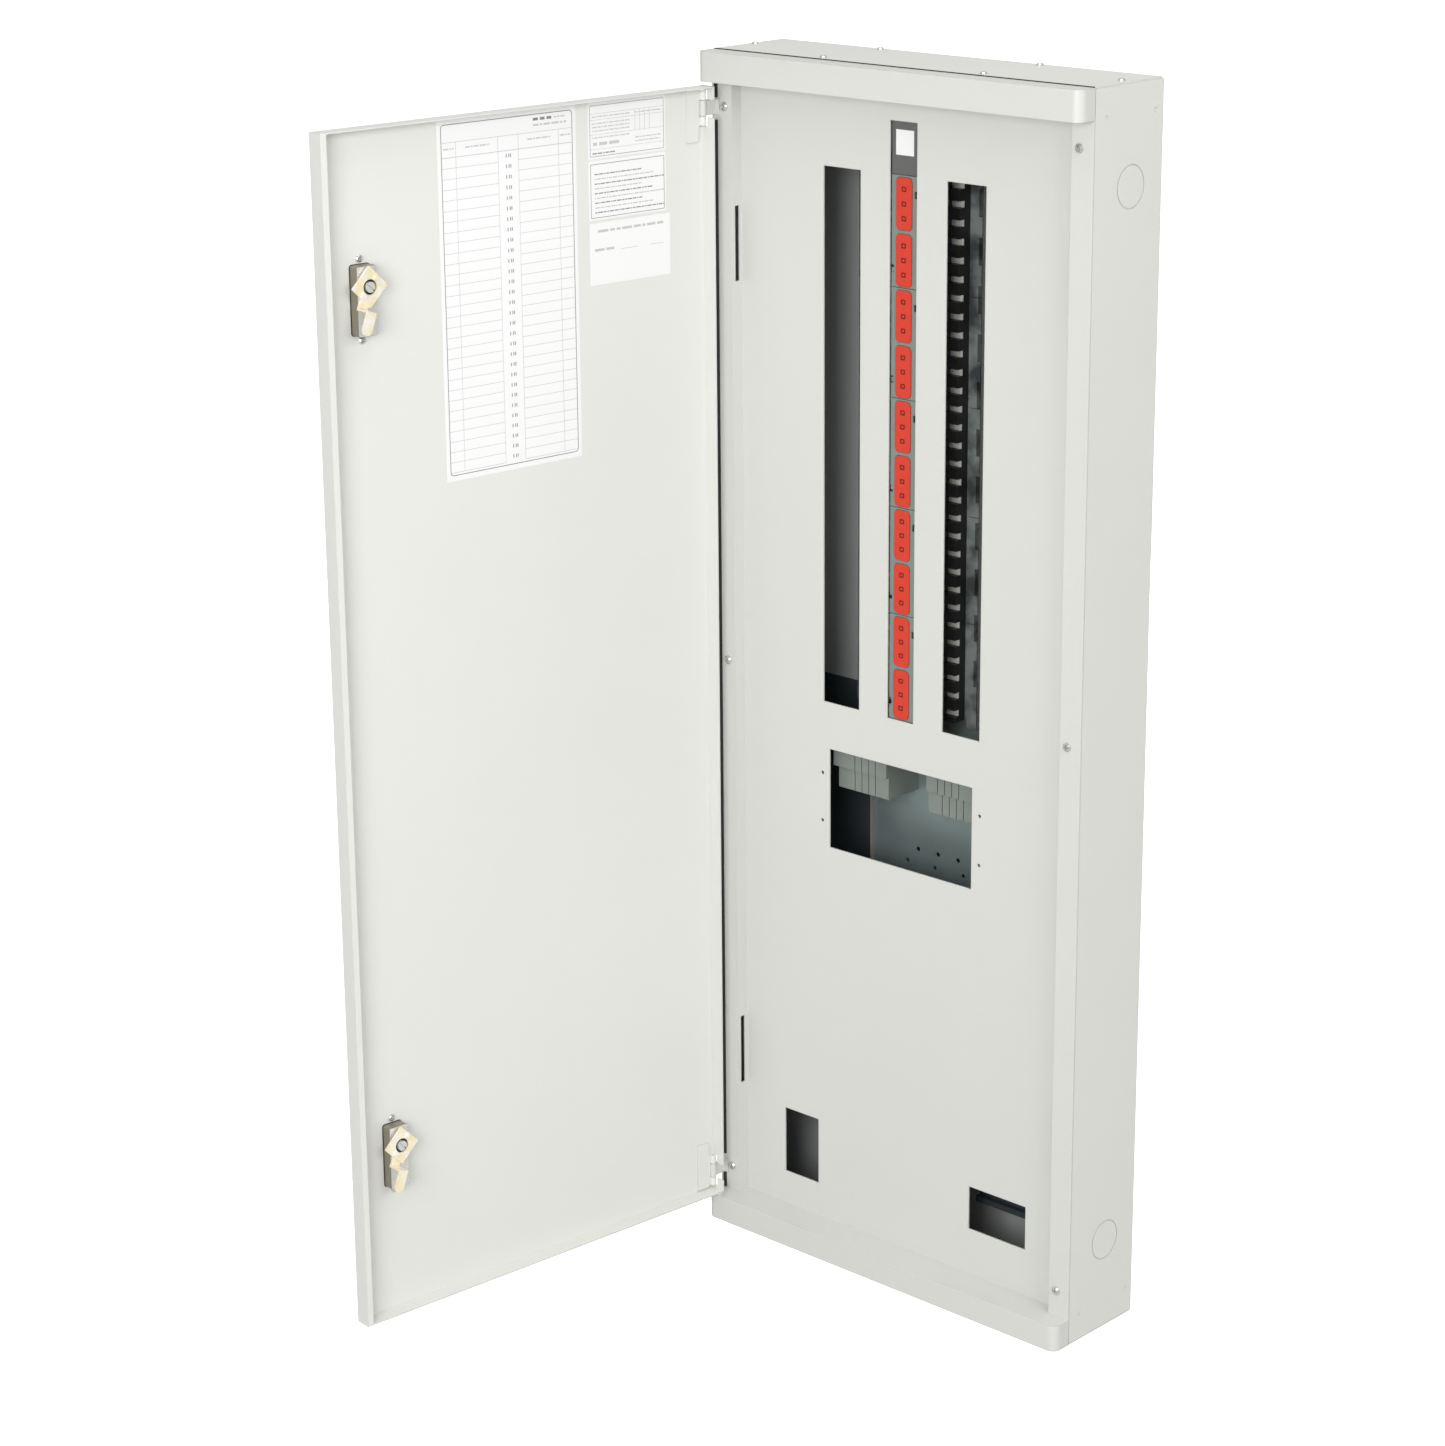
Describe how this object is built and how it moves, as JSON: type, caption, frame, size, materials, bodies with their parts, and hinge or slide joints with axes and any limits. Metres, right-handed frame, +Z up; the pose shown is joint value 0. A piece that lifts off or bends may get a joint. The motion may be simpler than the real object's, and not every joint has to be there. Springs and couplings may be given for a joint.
{
  "type": "industrial switchboard cabinet",
  "caption": "Tall shallow sheet-steel distribution cabinet with a hinged door, two quarter-turn locks, a slotted front cover and a shrouded busbar stack with breaker rails.",
  "frame": {"origin": "centre of the four wall-fixing holes, on the outside of the box's back", "axes": "+Z up along the cabinet's height, +Y out of the back into the wall, +X to the right of someone facing the door"},
  "size_m": [0.5146, 0.582, 1.2442],
  "materials": {
    "black_plastic": "black moulding",
    "brass_bar": "plain brass bar",
    "copper": "bare copper bar",
    "dark_plastic": "dark grey moulding",
    "dark_steel": "dark slate coat",
    "die_cast": "die-cast zinc, satin",
    "door_steel": "off-white powder coat",
    "galvanised": "dull zinc coating",
    "grey_plastic": "grey-green moulding",
    "painted_steel": "pale grey-white powder coat",
    "paper": "white printed card",
    "red_plastic": "orange-red moulding",
    "tinned": "tinned copper",
    "yellow_zinc": "pale yellow passivated zinc",
    "zinc_plate": "bright zinc plating"
  },
  "bodies": {
    "cabinet": {"back_box": "painted_steel", "bar_supports": "dark_plastic", "base_mouldings": "dark_plastic", "bottom_gland_plate": "painted_steel", "breaker_rails": "zinc_plate", "busbar_end_cap": "dark_plastic", "cap_label": "paper", "chassis_plate": "galvanised", "chassis_screws": "zinc_plate", "chassis_standoffs": "zinc_plate", "contact_straps_1": "tinned", "contact_straps_2": "tinned", "contact_straps_3": "tinned", "cover_screws": "zinc_plate", "device_rail_brackets": "dark_plastic", "device_rails": "zinc_plate", "earth_bar": "brass_bar", "finger_combs": "black_plastic", "front_cover": "painted_steel", "gland_plate_screws": "zinc_plate", "hinge_frame_leaves": "painted_steel", "hinge_pins": "zinc_plate", "incomer_shroud_left": "grey_plastic", "incomer_shroud_right": "grey_plastic", "neutral_bar": "brass_bar", "phase_bar_1": "copper", "phase_bar_2": "copper", "phase_bar_3": "copper", "rail_spacers": "dark_plastic", "shroud_1": "grey_plastic", "shroud_2": "grey_plastic", "shroud_3": "grey_plastic", "shroud_4": "grey_plastic", "shroud_5": "grey_plastic", "side_mounting_plate": "dark_steel", "terminal_screws": "zinc_plate", "top_gland_plate": "painted_steel", "way_cover_1": "red_plastic", "way_cover_10": "red_plastic", "way_cover_2": "red_plastic", "way_cover_3": "red_plastic", "way_cover_4": "red_plastic", "way_cover_5": "red_plastic", "way_cover_6": "red_plastic", "way_cover_7": "red_plastic", "way_cover_8": "red_plastic", "way_cover_9": "red_plastic"},
    "door": {"door_panel": "door_steel", "hinge_door_leaves": "door_steel", "directory_card": "paper", "door_labels": "paper", "lock_screws": "zinc_plate", "lock_housing_upper": "die_cast", "lock_housing_lower": "die_cast"},
    "lock_upper": {"lock_spindle_upper": "die_cast", "cam_plate_upper": "yellow_zinc", "lock_tongue_upper": "yellow_zinc"},
    "lock_lower": {"lock_spindle_lower": "die_cast", "cam_plate_lower": "yellow_zinc", "lock_tongue_lower": "yellow_zinc"}
  },
  "joints": [
    {"name": "door_hinge", "type": "hinge", "parent": "cabinet", "child": "door", "pos_m": [-0.229, -0.122, 0], "axis": [0, 0, -1], "range_deg": [-96, 24]},
    {"name": "lock_turn_upper", "type": "hinge", "parent": "door", "child": "lock_upper", "pos_m": [-0.26521, -0.53347, 0.442], "axis": [-0.9945, 0.1045, 0], "range_deg": [-20, 70]},
    {"name": "lock_turn_lower", "type": "hinge", "parent": "door", "child": "lock_lower", "pos_m": [-0.26521, -0.53347, -0.4075], "axis": [-0.9945, 0.1045, 0], "range_deg": [-20, 70]}
  ]
}
